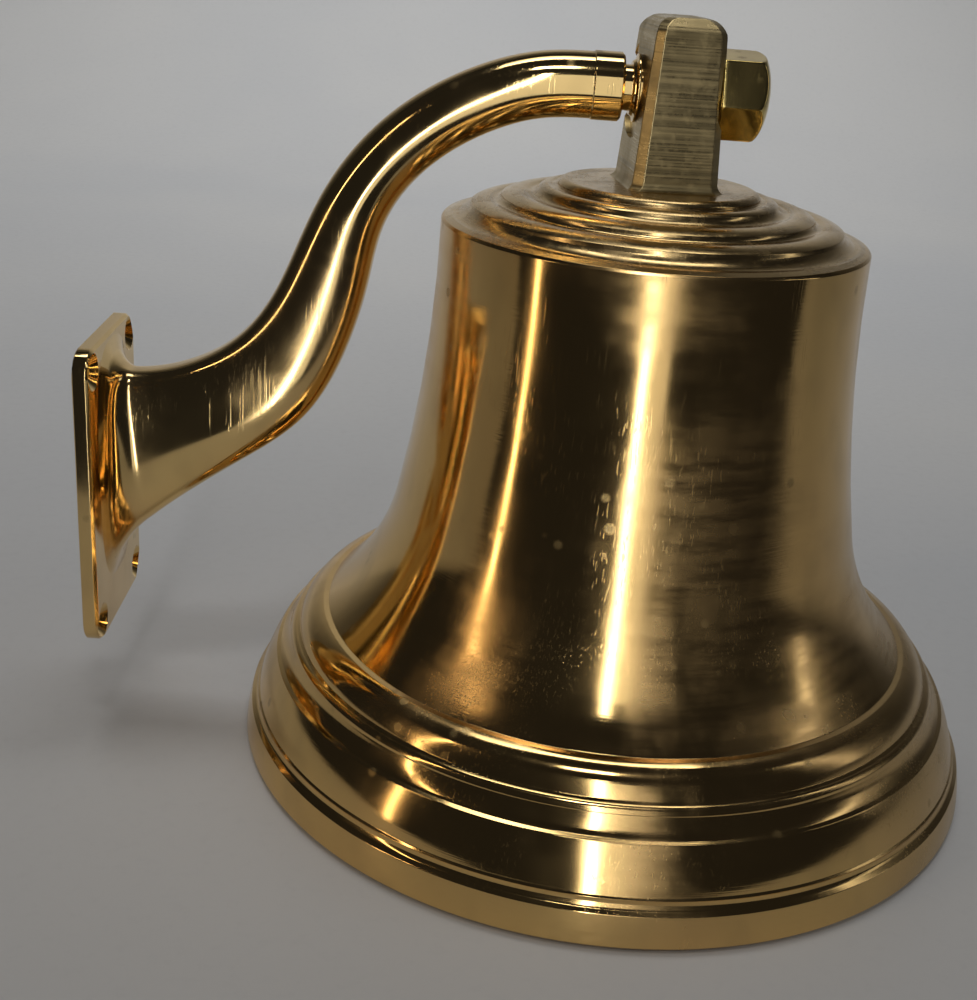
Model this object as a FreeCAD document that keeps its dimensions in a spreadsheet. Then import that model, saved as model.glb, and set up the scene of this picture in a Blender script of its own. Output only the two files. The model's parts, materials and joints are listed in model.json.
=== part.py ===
"""Brass ship bell on a wall bracket.

Frame: origin at the middle of the wall plate's back face, +X out of the wall towards the bell,
+Z up. The bell hangs from a stud that points along X, straight out from the wall.
"""
import FreeCAD, Part
import math
import os
import Sketcher
from FreeCAD import Placement, Rotation, Vector

os.makedirs("parts", exist_ok=True)
doc = FreeCAD.newDocument("ShipBell")

# ---------------------------------------------------------------- driving dimensions, mm
DIMS = {
    # where the bell hangs
    "reach": 125.0,             # wall to the bell's axis
    "stud_height": 97.0,        # middle of the plate up to the stud
    # wall plate
    "plate_wide": 42.0,
    "plate_tall": 71.0,
    "plate_thick": 3.6,
    "plate_corner": 6.0,
    "plate_bevel": 0.7,
    "screws_across": 33.0,
    "screws_up": 61.0,
    "screw_hole": 5.2,
    "screw_head": 8.4,
    "root_fillet": 7.0,
    # end of the arm and the stud in it
    "boss_dia": 14.4,
    "boss_long": 7.0,
    "boss_bevel": 0.5,
    "socket_deep": 12.0,
    "stud_dia": 9.6,
    "stud_gap": 3.4,            # stud seen between the arm and the bell's lug
    "collar_dia": 14.2,
    "collar_neck": 11.0,
    "collar_thick": 1.5,
    "collar_rim": 0.5,
    "nut_flats": 17.0,
    "nut_high": 11.6,
    "nut_dome": 3.6,            # height of the domed end
    "nut_turn": 10.0,           # how far a corner stands above level, degrees
    "play": 0.1,                # clearance each side of the lug
    "run_fit": 0.05,            # radial clearance of a turning fit
    # bell casting, measured from its mouth
    "mouth_rad": 89.0,
    "crown_rad": 47.5,
    "crown_high": 126.3,
    "plinth_rad": 22.3,
    "plinth_high": 136.0,
    "axis_high": 155.8,         # mouth up to the stud
    "wall": 4.6,
    "inside_high": 121.5,       # flat roof of the hollow
    "hanger_hole": 4.0,         # radius of the blind hole for the crown bolt
    # lug on the crown
    "lug_shift": 1.2,           # how far the lug was cast off the bell's axis
    "lug_turn": 6.0,            # and how far it is turned against the stud, degrees
    "lug_top_x": 14.7,
    "lug_top_y": 20.0,
    "lug_base_x": 19.0,
    "lug_base_y": 22.0,
    "lug_top": 171.0,
    "lug_bevel_top": 1.5,
    "lug_bevel_base": 2.0,
    "lug_shoulder": 3.6,        # rounding of the top over the faced sides
    "lug_brow": 2.6,            # bevel along the top's other edges
    "lug_seat": 10.3,           # radius of the flats faced for the collar and the nut
    # clapper and what carries it, measured from the bell's mouth
    "washer_rad": 10.5,
    "washer_thick": 1.5,
    "fork_gap": 18.0,
    "fork_cheek": 3.0,
    "fork_deep": 13.0,
    "fork_web": 4.0,
    "fork_bend": 2.2,
    "bolt_shoulder": 4.6,       # radius that the fork turns on
    "bolt_flats": 14.0,
    "bolt_head": 5.0,
    "bolt_thread": 8.7,
    "bolt_slack": 0.3,          # room for the fork between the washer and the head
    "pin_high": 100.0,
    "pin_rad": 2.5,
    "pin_head_rad": 4.2,
    "pin_head_thick": 2.0,
    "pin_tail": 4.0,
    "split_rad": 0.6,
    "eye_rad": 6.5,
    "eye_wide": 16.6,
    "rod_rad": 4.0,
    "neck_rad": 6.2,
    "neck_high": 90.0,
    "neck_long": 8.0,
    "ball_rad": 15.0,
    "ball_high": 31.5,
    "tail_rad": 2.4,
    "ring_rad": 6.8,            # flat eye for the bell rope
    "ring_thick": 5.0,
    "ring_round": 1.2,
    "ring_hole": 3.6,
    "ring_high": 8.6,
    # holes are cut with tools this long
    "through": 60.0,
}

# Stations along the arm's middle line: out from the wall, up, slope in degrees, depth, width.
ARM = [
    (2.0, 4.0, 0.0, 46.0, 15.6),
    (13.0, 10.2, 9.0, 34.0, 14.8),
    (24.0, 16.2, 25.0, 27.2, 14.6),
    (40.0, 27.0, 43.0, 24.0, 14.6),
    (48.5, 40.0, 60.0, 20.6, 14.5),
    (53.6, 54.0, 67.0, 18.0, 14.3),
    (58.0, 67.0, 59.0, 15.4, 14.1),
    (67.5, 80.6, 42.0, 14.2, 14.0),
    (84.5, 92.2, 20.0, 13.95, 13.9),
    (98.0, 96.4, 6.0, 13.95, 13.9),
    (108.5, 97.0, 0.0, 13.95, 13.9),
]
STATION_FIELDS = ("out", "up", "slope", "deep", "wide")
STATIONS = "abcdefghijk"

sheet = doc.addObject("Spreadsheet::Sheet", "Dims")
cells = dict(DIMS)
# the tapered lug's thickness at the stud
cells["lug_mid_x"] = ("=lug_top_x + (lug_base_x - lug_top_x) * (lug_top - axis_high)"
                      " / (lug_top - plinth_high + 1)")
# middle of the lug, out from the wall
cells["lug_out"] = "=reach + lug_shift"
for letter, station in zip(STATIONS, ARM):
    for field, value in zip(STATION_FIELDS, station):
        cells["arm%s_%s" % (letter, field)] = value
for line, (alias, value) in enumerate(cells.items(), start=1):
    sheet.set("A%d" % line, alias)
    sheet.set("B%d" % line, str(value))
    sheet.setAlias("B%d" % line, alias)
doc.recompute()


def size(expression):
    """Value of an expression over the sheet's aliases."""
    return float(sheet.evalExpression(expression))


def bind(obj, **expressions):
    """Ties properties of an object to the sheet."""
    for prop, expression in expressions.items():
        obj.setExpression(prop, on_sheet(expression))
    return obj


def on_sheet(expression):
    """The expression with every alias written as a cell of the Dims sheet."""
    words = []
    word = ""
    for letter in expression + " ":
        if letter.isalnum() or letter in "_.":
            word += letter
            continue
        words.append("Dims." + word if word in cells else word)
        words.append(letter)
        word = ""
    return "".join(words).strip()


def millimetres(expression):
    """The same, as a length."""
    return "(%s) * 1 mm" % on_sheet(expression)


def put(obj, x="0", y="0", z="0", axis=(0, 0, 1), angle=0.0):
    """Places an object at sheet-driven coordinates, turned about an axis."""
    obj.Placement = Placement(Vector(0, 0, 0), Rotation(Vector(*axis), angle))
    for name, expression in zip("xyz", (x, y, z)):
        obj.setExpression("Placement.Base." + name, millimetres(expression))
    return obj


# ---------------------------------------------------------------- plain solids and booleans
def cylinder(name, radius, height, x="0", y="0", z="0", along="z"):
    """Cylinder that starts at the point and runs along the named axis."""
    obj = doc.addObject("Part::Cylinder", name)
    bind(obj, Radius=radius, Height=height)
    turned = {"z": ((0, 0, 1), 0.0), "x": ((0, 1, 0), 90.0), "y": ((1, 0, 0), -90.0)}[along]
    return put(obj, x, y, z, *turned)


def cone(name, low, high, height, x="0", y="0", z="0", along="z"):
    """Cone or tapered plug; low is the radius at the point it starts from."""
    obj = doc.addObject("Part::Cone", name)
    bind(obj, Radius1=low, Radius2=high, Height=height)
    turned = {"z": ((0, 0, 1), 0.0), "x": ((0, 1, 0), 90.0)}[along]
    return put(obj, x, y, z, *turned)


def box(name, long, wide, high, x="0", y="0", z="0"):
    """Box from its lowest corner."""
    obj = doc.addObject("Part::Box", name)
    bind(obj, Length=long, Width=wide, Height=high)
    return put(obj, x, y, z)


def fuse(name, *pieces):
    obj = doc.addObject("Part::MultiFuse", name)
    obj.Shapes = list(pieces)
    obj.Refine = True
    return obj


def cut(name, base, tool):
    obj = doc.addObject("Part::Cut", name)
    obj.Base = base
    obj.Tool = tool
    return obj


def common(name, *pieces):
    obj = doc.addObject("Part::MultiCommon", name)
    obj.Shapes = list(pieces)
    return obj


def round_edges(name, base, radius, chosen):
    """Fillet of the edges of base that the test picks."""
    doc.recompute()
    edges = [i for i, edge in enumerate(base.Shape.Edges, start=1) if chosen(edge)]
    obj = doc.addObject("Part::Fillet", name)
    obj.Base = base
    obj.Edges = [(i, size(radius), size(radius)) for i in edges]
    return obj


def bevel_edges(name, base, width, chosen):
    """Chamfer of the edges of base that the test picks."""
    doc.recompute()
    edges = [i for i, edge in enumerate(base.Shape.Edges, start=1) if chosen(edge)]
    obj = doc.addObject("Part::Chamfer", name)
    obj.Base = base
    obj.Edges = [(i, size(width), size(width)) for i in edges]
    return obj


def flat_in_x(edge, x):
    limits = edge.BoundBox
    return abs(limits.XMin - x) < 0.01 and abs(limits.XMax - x) < 0.01


# ---------------------------------------------------------------- sketched bodies
def new_body(name):
    return doc.addObject("PartDesign::Body", name)


def sketch_on(body, name, plane, lift="0"):
    """Sketch on one of the body's own origin planes, raised along the plane's normal."""
    sketch = body.newObject("Sketcher::SketchObject", name)
    support = [f for f in body.Origin.OriginFeatures if f.Role == plane][0]
    sketch.AttachmentSupport = [(support, "")]
    sketch.MapMode = "FlatFace"
    sketch.setExpression("AttachmentOffset.Base.z", millimetres(lift))
    return sketch


def outline(sketch, corners):
    """Closed outline through corners given as expressions (across, up, bulge).

    A bulge is the rise of the arc that leads from this corner to the next, positive to the left.
    Every corner is dimensioned from the origin and every dimension is tied to the sheet.
    """
    points = [Vector(size(corner[0]), size(corner[1]), 0) for corner in corners]
    for i, start in enumerate(points):
        end = points[(i + 1) % len(points)]
        bulge = size(corners[i][2]) if len(corners[i]) > 2 else 0.0
        if bulge:
            chord = end - start
            left = Vector(-chord.y, chord.x, 0).normalize()
            middle = (start + end) * 0.5 + left * bulge
            first, last = (end, start) if bulge > 0 else (start, end)
            sketch.addGeometry(Part.Arc(first, middle, last), False)
        else:
            sketch.addGeometry(Part.LineSegment(start, end), False)
    ends = [nearest_ends(sketch.Geometry[i], points[i]) for i in range(len(points))]
    joints = []
    for i in range(len(points)):
        after = (i + 1) % len(points)
        joints.append(Sketcher.Constraint("Coincident", i, ends[i][1], after, ends[after][0]))
        curve = sketch.Geometry[i]
        if hasattr(curve, "Radius"):
            joints.append(Sketcher.Constraint("Radius", i, curve.Radius))
    dimension(sketch, [(i, ends[i][0], corner[0], corner[1]) for i, corner in enumerate(corners)],
              joints)


def dimension(sketch, spots, joints):
    """Adds the joints, and ties each spot (geometry, end, across, up) to the sheet.

    A spot whose distance from an axis is nil lies on that axis.
    """
    driven = {}
    for number, end, across, up in spots:
        for kind, expression, other_axis in (("DistanceX", across, -2), ("DistanceY", up, -1)):
            value = size(expression)
            if value == 0:
                joints.append(Sketcher.Constraint("PointOnObject", number, end, other_axis))
                continue
            driven[len(joints)] = expression
            joints.append(Sketcher.Constraint(kind, -1, 1, number, end, value))
    sketch.addConstraint(joints)
    for index, expression in driven.items():
        sketch.setExpression("Constraints[%d]" % index, millimetres(expression))


def nearest_ends(curve, start):
    """Point numbers (first, last) of a curve that is walked from start."""
    if (curve.StartPoint - start).Length < (curve.EndPoint - start).Length:
        return 1, 2
    return 2, 1


def revolve(body, sketch, name="Revolution"):
    """Turns the sketch about its upright axis."""
    obj = body.newObject("PartDesign::Revolution", name)
    obj.Profile = sketch
    obj.ReferenceAxis = (sketch, ["V_Axis"])
    obj.Angle = 360
    return obj


def circle(sketch, radius, across="0", up="0"):
    centre = Vector(size(across), size(up), 0)
    number = sketch.addGeometry(Part.Circle(centre, Vector(0, 0, 1), size(radius)), False)
    dimension(sketch, [(number, 3, across, up)],
              [Sketcher.Constraint("Radius", number, size(radius))])
    sketch.setExpression("Constraints[0]", millimetres(radius))


NODES = {}


def node(name, obj):
    """Registers a finished sub-part under its own label."""
    obj.Label = name
    NODES[name] = obj


# ---------------------------------------------------------------- wall bracket
def arm_section(key):
    """Oval across the arm at one station, as two half ellipses that meet above and below."""
    oval = Part.Ellipse(Vector(0, 0, 0), size(key + "_deep / 2"), size(key + "_wide / 2"))
    halves = [Part.ArcOfEllipse(oval, math.radians(start), math.radians(start + 180)).toShape()
              for start in (-90, 90)]
    wire = Part.Wire(halves)
    wire.Placement = Placement(Vector(size(key + "_out"), 0, size(key + "_up")),
                               Rotation(Vector(0, 1, 0), -size(key + "_slope") - 90.0))
    return wire


def wall_bracket():
    """One casting: screwed plate, S-shaped arm that tapers as it rises, turned boss."""
    slab = box("PlateSlab", "plate_thick", "plate_wide", "plate_tall",
               y="-plate_wide / 2", z="-plate_tall / 2")
    plate = round_edges("PlateCorners", slab, "plate_corner",
                        lambda e: abs(e.BoundBox.XLength - size("plate_thick")) < 0.01)
    beveled = bevel_edges("PlateBevel", plate, "plate_bevel",
                          lambda e: flat_in_x(e, size("plate_thick")))
    arm = doc.addObject("Part::Feature", "ArmLoft")
    arm.Shape = Part.makeLoft([arm_section("arm" + letter) for letter in STATIONS], True, False)
    boss = cylinder("ArmBoss", "boss_dia / 2", "boss_long",
                    "lug_out - lug_mid_x / 2 - stud_gap - boss_long", "0", "stud_height", "x")
    turned = bevel_edges("ArmBossEdge", boss, "boss_bevel", lambda e: e.BoundBox.XLength < 0.01
                         and e.BoundBox.XMin > size("lug_out - lug_mid_x / 2 - stud_gap") - 0.1)
    whole = fuse("BracketRough", beveled, arm, turned)
    blended = round_edges("BracketBlend", whole, "root_fillet",
                          lambda e: flat_in_x(e, size("plate_thick")) and e.BoundBox.YLength < 20
                          and abs(e.CenterOfMass.y) < size("plate_wide") / 2 - 4)
    tools = []
    for side, side_name in ((-1, "Near"), (1, "Far")):
        for level, level_name in ((-1, "Low"), (1, "High")):
            tag = side_name + level_name
            y = "%d * screws_across / 2" % side
            z = "%d * screws_up / 2" % level
            tools.append(cylinder("Screw" + tag, "screw_hole / 2", "through", "-1", y, z, "x"))
            tools.append(cone("Sink" + tag, "screw_hole / 2", "screw_head / 2",
                              "(screw_head - screw_hole) / 2",
                              "plate_thick - (screw_head - screw_hole) / 2", y, z, "x"))
            tools.append(cylinder("Head" + tag, "screw_head / 2", "through / 5", "plate_thick",
                                  y, z, "x"))
    tools.append(cylinder("StudSocket", "stud_dia / 2", "socket_deep + 1",
                          "lug_out - lug_mid_x / 2 - stud_gap - socket_deep", "0",
                          "stud_height", "x"))
    node("wall_bracket", cut("Bracket", blended, fuse("BracketTools", *tools)))


# ---------------------------------------------------------------- stud, collar and nut
def pivot_stud():
    """Stud screwed into the arm's boss; the bell's lug turns on it."""
    shank = cylinder("StudShank", "stud_dia / 2 - 0.01",
                     "socket_deep + stud_gap + lug_mid_x + play + nut_high - nut_dome - 1.2",
                     "lug_out - lug_mid_x / 2 - stud_gap - socket_deep", "0", "stud_height", "x")
    node("pivot_stud", bevel_edges("Stud", shank, "0.6", lambda e: e.BoundBox.XLength < 0.01))


def thrust_collar():
    """Flared ring on the stud that the lug bears against."""
    flare = cone("CollarFlare", "collar_neck / 2", "collar_dia / 2",
                 "collar_thick - collar_rim",
                 "lug_out - lug_mid_x / 2 - play - collar_thick", "0", "stud_height", "x")
    rim = cylinder("CollarRim", "collar_dia / 2", "collar_rim",
                   "lug_out - lug_mid_x / 2 - play - collar_rim", "0", "stud_height", "x")
    bore = cylinder("CollarBore", "stud_dia / 2", "collar_thick + 2",
                    "lug_out - lug_mid_x / 2 - play - collar_thick - 1", "0", "stud_height", "x")
    node("thrust_collar", cut("Collar", fuse("CollarRough", flare, rim), bore))


def dome_nut():
    """Hexagon cap nut with a low rounded end."""
    start = "lug_out + lug_mid_x / 2 + play"
    prism = doc.addObject("Part::Prism", "NutHexagon")
    prism.Polygon = 6
    bind(prism, Circumradius="nut_flats / sqrt(3)", Height="nut_high")
    put(prism, start, "0", "stud_height")
    prism.Placement.Rotation = (Rotation(Vector(1, 0, 0), size("nut_turn"))
                                * Rotation(Vector(0, 1, 0), 90.0))
    skirt = cylinder("NutSkirt", "nut_flats / sqrt(3)", "nut_high - nut_dome", start, "0",
                     "stud_height", "x")
    crown = doc.addObject("Part::Ellipsoid", "NutDome")
    bind(crown, Radius1="nut_dome", Radius2="nut_flats / sqrt(3)", Radius3="nut_flats / sqrt(3)")
    put(crown, "lug_out + lug_mid_x / 2 + play + nut_high - nut_dome", "0", "stud_height",
        (0, 1, 0), 90.0)
    turned = fuse("NutTurned", skirt, crown)
    bore = cylinder("NutBore", "stud_dia / 2", "nut_high - nut_dome - 0.6",
                    "lug_out + lug_mid_x / 2 + play - 0.5", "0", "stud_height", "x")
    node("dome_nut", cut("Nut", common("NutOutside", prism, turned), bore))


# ---------------------------------------------------------------- bell casting
def top_edges(shape, way):
    """Names of the edges along the lug's top that run nearly along x or y."""
    names = []
    for number, edge in enumerate(shape.Edges, start=1):
        run = edge.Vertexes[-1].Point - edge.Vertexes[0].Point
        level = edge.BoundBox.ZMin > size("lug_top") - 0.01
        if level and abs(getattr(run, way)) > 0.95 * run.Length:
            names.append("Edge%d" % number)
    return names


def bell():
    """Hollow turned casting with its lug.

    Outside, from the mouth up: lip band, cove, wide band, narrow band, bead, torus, flared
    waist, crown edge, three ringed steps and the plinth. The waist is two tangent arcs.
    """
    body = new_body("BellBody")
    section = sketch_on(body, "BellSection", "XZ_Plane")
    outer = [
        ("mouth_rad - 1.0", "0"),
        ("mouth_rad", "1.2", "-0.15"),
        ("mouth_rad - 1.2", "7.9"),
        ("mouth_rad - 1.9", "8.5", "0.35"),
        ("mouth_rad - 2.7", "10.6"),
        ("mouth_rad - 3.1", "11.0", "-0.35"),
        ("mouth_rad - 7.1", "20.6"),
        ("mouth_rad - 8.0", "21.0", "0.3"),
        ("mouth_rad - 10.3", "24.4"),
        ("mouth_rad - 10.5", "24.9", "-0.35"),
        ("mouth_rad - 11.9", "26.6"),
        ("mouth_rad - 12.6", "27.0", "-1.0"),
        ("mouth_rad - 18.1", "32.6"),
        ("mouth_rad - 19.4", "32.7", "2.45"),
        ("crown_rad + 6.9", "60.0", "1.78"),
        ("crown_rad", "crown_high - 0.6"),
        ("crown_rad - 0.5", "crown_high"),
        ("crown_rad - 2.2", "crown_high + 0.5", "0.5"),
        ("crown_rad - 6.0", "crown_high + 2.3"),
        ("crown_rad - 6.3", "crown_high + 3.1", "-0.55"),
        ("crown_rad - 11.5", "crown_high + 4.0", "0.45"),
        ("crown_rad - 13.0", "crown_high + 5.2", "-0.55"),
        ("crown_rad - 18.3", "crown_high + 6.0", "0.7"),
        ("crown_rad - 21.2", "crown_high + 7.4", "-0.4"),
        ("plinth_rad + 1.2", "plinth_high - 1.7"),
        ("plinth_rad", "plinth_high - 1.6"),
        ("plinth_rad", "plinth_high - 1.1", "-0.2"),
        ("plinth_rad - 1.5", "plinth_high"),
        ("0", "plinth_high"),
    ]
    inner = [
        ("0", "inside_high + 9.5"),
        ("hanger_hole", "inside_high + 9.5"),
        ("hanger_hole", "inside_high"),
        ("crown_rad - wall - 4.0", "inside_high", "-1.6"),
        ("crown_rad - wall", "inside_high - 4.0", "-1.6"),
        ("crown_rad - wall + 6.9", "60.0", "-2.4"),
        ("mouth_rad - 24.3", "33.0", "-0.4"),
        ("mouth_rad - 12.6", "18.0", "-0.4"),
        ("mouth_rad - 7.6", "4.0"),
        ("mouth_rad - 7.0", "0"),
    ]
    outline(section, outer + inner)
    revolve(body, section)
    doc.recompute()
    lug_sections = []
    # each section is an oblong with its four corners trimmed, walked round anticlockwise
    walk = [(1, -1, "y"), (1, 1, "y"), (1, 1, "x"), (-1, 1, "x"),
            (-1, 1, "y"), (-1, -1, "y"), (-1, -1, "x"), (1, -1, "x")]
    for tag, lift in (("base", "plinth_high - 1"), ("top", "lug_top")):
        ring = sketch_on(body, "Lug" + tag.title(), "XY_Plane", lift)
        corners = []
        for side_x, side_y, trimmed in walk:
            trims = {trimmed: "lug_bevel_" + tag}
            corners.append(tuple("%d * (lug_%s_%s / 2 - %s)" % (sign, tag, way, trims.get(way, "0"))
                                 for sign, way in ((side_x, "x"), (side_y, "y"))))
        outline(ring, corners)
        ring.AttachmentOffset = Placement(Vector(0, 0, size(lift)),
                                          Rotation(Vector(0, 0, 1), size("lug_turn")))
        ring.setExpression("AttachmentOffset.Base.x", millimetres("lug_shift"))
        ring.setExpression("AttachmentOffset.Base.z", millimetres(lift))
        lug_sections.append(ring)
    doc.recompute()
    lug = body.newObject("PartDesign::AdditiveLoft", "Lug")
    lug.Profile = lug_sections[0]
    lug.Sections = [lug_sections[1]]
    lug.Ruled = True
    doc.recompute()
    shoulders = body.newObject("PartDesign::Fillet", "LugShoulders")
    shoulders.Base = (lug, top_edges(lug.Shape, "y"))
    bind(shoulders, Radius="lug_shoulder")
    doc.recompute()
    brow = body.newObject("PartDesign::Chamfer", "LugBrow")
    brow.Base = (shoulders, top_edges(shoulders.Shape, "x"))
    bind(brow, Size="lug_brow")
    doc.recompute()
    bore = sketch_on(body, "LugBore", "YZ_Plane")
    circle(bore, "stud_dia / 2 + run_fit", "0", "axis_high")
    pocket = body.newObject("PartDesign::Pocket", "LugHole")
    pocket.Profile = bore
    pocket.Type = "Length"
    pocket.Midplane = True
    bind(pocket, Length="through")
    doc.recompute()
    for side, offset in (("Left", "lug_shift - lug_mid_x / 2"),
                         ("Right", "lug_shift + lug_mid_x / 2")):
        seat = sketch_on(body, "LugSeat" + side, "YZ_Plane", offset)
        circle(seat, "lug_seat", "0", "axis_high")
        facing = body.newObject("PartDesign::Pocket", "LugFacing" + side)
        facing.Profile = seat
        facing.Type = "Length"
        facing.Reversed = side == "Right"
        bind(facing, Length="lug_mid_x")
    doc.recompute()
    put(body, "reach", "0", "stud_height - axis_high")
    node("bell", body)


# ---------------------------------------------------------------- clapper and its hanger
def hung(name, obj):
    """Lowers a piece built from the bell's mouth into its place under the bell's crown."""
    doc.recompute()
    placed = doc.addObject("Part::Compound", name + "Placed")
    placed.Links = [obj]
    put(placed, "reach", "0", "stud_height - axis_high")
    node(name, placed)


def crown_washer():
    disc = cylinder("WasherDisc", "washer_rad", "washer_thick", z="inside_high - washer_thick")
    hole = cylinder("WasherHole", "bolt_shoulder + run_fit", "washer_thick + 2",
                    z="inside_high - washer_thick - 1")
    hung("crown_washer", cut("Washer", disc, hole))


def crown_bolt():
    """Shouldered bolt screwed up into the crown; its head keeps the fork on."""
    under = "inside_high - washer_thick - fork_web - bolt_slack"
    thread = cylinder("BoltThread", "hanger_hole - 0.01", "bolt_thread + 1", z="inside_high - 1")
    shoulder = cylinder("BoltShoulder", "bolt_shoulder", "inside_high - (%s)" % under, z=under)
    head = doc.addObject("Part::Prism", "BoltHead")
    head.Polygon = 6
    bind(head, Circumradius="bolt_flats / sqrt(3)", Height="bolt_head")
    put(head, z=under + " - bolt_head")
    hung("crown_bolt", fuse("CrownBolt", thread, shoulder, head))


def hanger_fork():
    """U-shaped strap that turns on the crown bolt and carries the clapper's pin."""
    top = "inside_high - washer_thick - play"
    web = box("ForkWeb", "fork_gap + 2 * fork_cheek", "fork_deep", "fork_web",
              "-(fork_gap / 2 + fork_cheek)", "-fork_deep / 2", top + " - fork_web")
    parts = [web]
    for side, tag in ((-1, "Left"), (1, "Right")):
        start = "-(fork_gap / 2 + fork_cheek)" if side < 0 else "fork_gap / 2"
        parts.append(box("ForkCheek" + tag, "fork_cheek", "fork_deep", top + " - pin_high",
                         start, "-fork_deep / 2", "pin_high"))
        parts.append(cylinder("ForkEnd" + tag, "fork_deep / 2", "fork_cheek", start, "0",
                              "pin_high", "x"))
    strap = fuse("ForkStrap", *parts)
    bent = round_edges("ForkBend", strap, "fork_bend",
                       lambda e: e.BoundBox.YLength > size("fork_deep") - 0.1
                       and e.BoundBox.ZMin > size(top) - 0.1)
    tools = fuse("ForkTools",
                 cylinder("ForkTurnHole", "bolt_shoulder + run_fit", "fork_web + 2",
                          z=top + " - fork_web - 1"),
                 cylinder("ForkPinHole", "pin_rad", "through", "-through / 2", "0", "pin_high",
                          "x"))
    hung("hanger_fork", cut("Fork", bent, tools))


def clapper_pin():
    """Headed pin across the fork, with a cross hole for its split pin."""
    half = "fork_gap / 2 + fork_cheek"
    shank = cylinder("PinShank", "pin_rad - 0.01", "2 * (%s) + pin_tail" % half,
                     "-(%s)" % half, "0", "pin_high", "x")
    head = cylinder("PinHead", "pin_head_rad", "pin_head_thick",
                    "-(%s) - pin_head_thick" % half, "0", "pin_high", "x")
    hole = cylinder("PinCrossHole", "split_rad", "through", half + " + pin_tail / 2",
                    "-through / 2", "pin_high", "y")
    hung("clapper_pin", cut("Pin", fuse("PinRough", shank, head), hole))


def split_pin():
    """Split pin through the end of the clapper pin, with its round eye."""
    x = "fork_gap / 2 + fork_cheek + pin_tail / 2"
    legs = cylinder("SplitLegs", "split_rad - 0.01", "2 * pin_rad + 3", x, "-pin_rad - 1",
                    "pin_high", "y")
    eye = doc.addObject("Part::Torus", "SplitEye")
    bind(eye, Radius1="2 * split_rad", Radius2="split_rad * 0.7")
    put(eye, x, "-pin_rad - 1 - 2 * split_rad", "pin_high", (0, 0, 1), 0.0)
    hung("split_pin", fuse("SplitPin", legs, eye))


def clapper_rod():
    """Rod with a barrel eye that swings on the pin; its foot is turned down for the ball."""
    barrel = cylinder("RodBarrel", "eye_rad", "eye_wide", "-eye_wide / 2", "0", "pin_high", "x")
    shank = cylinder("RodShank", "rod_rad", "pin_high - ball_high", z="ball_high")
    neck = cone("RodNeck", "rod_rad", "neck_rad", "neck_long", z="neck_high")
    rough = fuse("RodRough", barrel, shank, neck)
    bore = cylinder("RodBore", "pin_rad + run_fit", "eye_wide + 2", "-eye_wide / 2 - 1", "0",
                    "pin_high", "x")
    hung("clapper_rod", cut("Rod", rough, bore))


def clapper_ball():
    """Striker ball, bored from above for the rod and from below for the tail."""
    ball = doc.addObject("Part::Sphere", "BallSolid")
    bind(ball, Radius="ball_rad")
    put(ball, z="ball_high")
    rod_hole = cylinder("BallRodHole", "rod_rad", "ball_rad + 1", z="ball_high")
    tail_hole = cylinder("BallTailHole", "tail_rad", "ball_rad", z="ball_high - ball_rad - 1")
    hung("clapper_ball", cut("Ball", ball, fuse("BallHoles", rod_hole, tail_hole)))


def clapper_tail():
    """Drilled eye screwed into the foot of the ball; the bell rope is made fast to it."""
    stem = cylinder("TailStem", "tail_rad - 0.01", "ball_high - 1 - ring_high", z="ring_high")
    disc = cylinder("TailDisc", "ring_rad", "ring_thick", "0", "-ring_thick / 2", "ring_high", "y")
    eye = round_edges("TailEye", disc, "ring_round", lambda e: e.BoundBox.YLength < 0.01)
    hole = cylinder("TailHole", "ring_hole", "through", "0", "-through / 2", "ring_high", "y")
    hung("clapper_tail", cut("Tail", fuse("TailRough", stem, eye), hole))


# ---------------------------------------------------------------- build, test and write
for make in (wall_bracket, pivot_stud, thrust_collar, dome_nut, bell, crown_washer, crown_bolt,
             hanger_fork, clapper_pin, split_pin, clapper_rod, clapper_ball, clapper_tail):
    make()
doc.recompute()

faults = [obj.Name for obj in doc.Objects if {"Invalid", "Error"} & set(obj.State)]
for name, obj in NODES.items():
    shape = obj.Shape
    if shape.isNull() or not shape.isValid() or len(shape.Solids) != 1:
        faults.append(name)
if faults:
    raise RuntimeError("not built: " + ", ".join(faults))
for name, obj in NODES.items():
    limits = obj.Shape.BoundBox
    print("%-14s volume %9.0f  x %6.1f %6.1f  y %6.1f %6.1f  z %6.1f %6.1f" % (
        name, obj.Shape.Volume, limits.XMin, limits.XMax, limits.YMin, limits.YMax,
        limits.ZMin, limits.ZMax))
    obj.Shape.exportStep("parts/%s.step" % name)
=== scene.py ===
import json
import math
import bmesh
import bpy
from mathutils import Matrix, Vector


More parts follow.
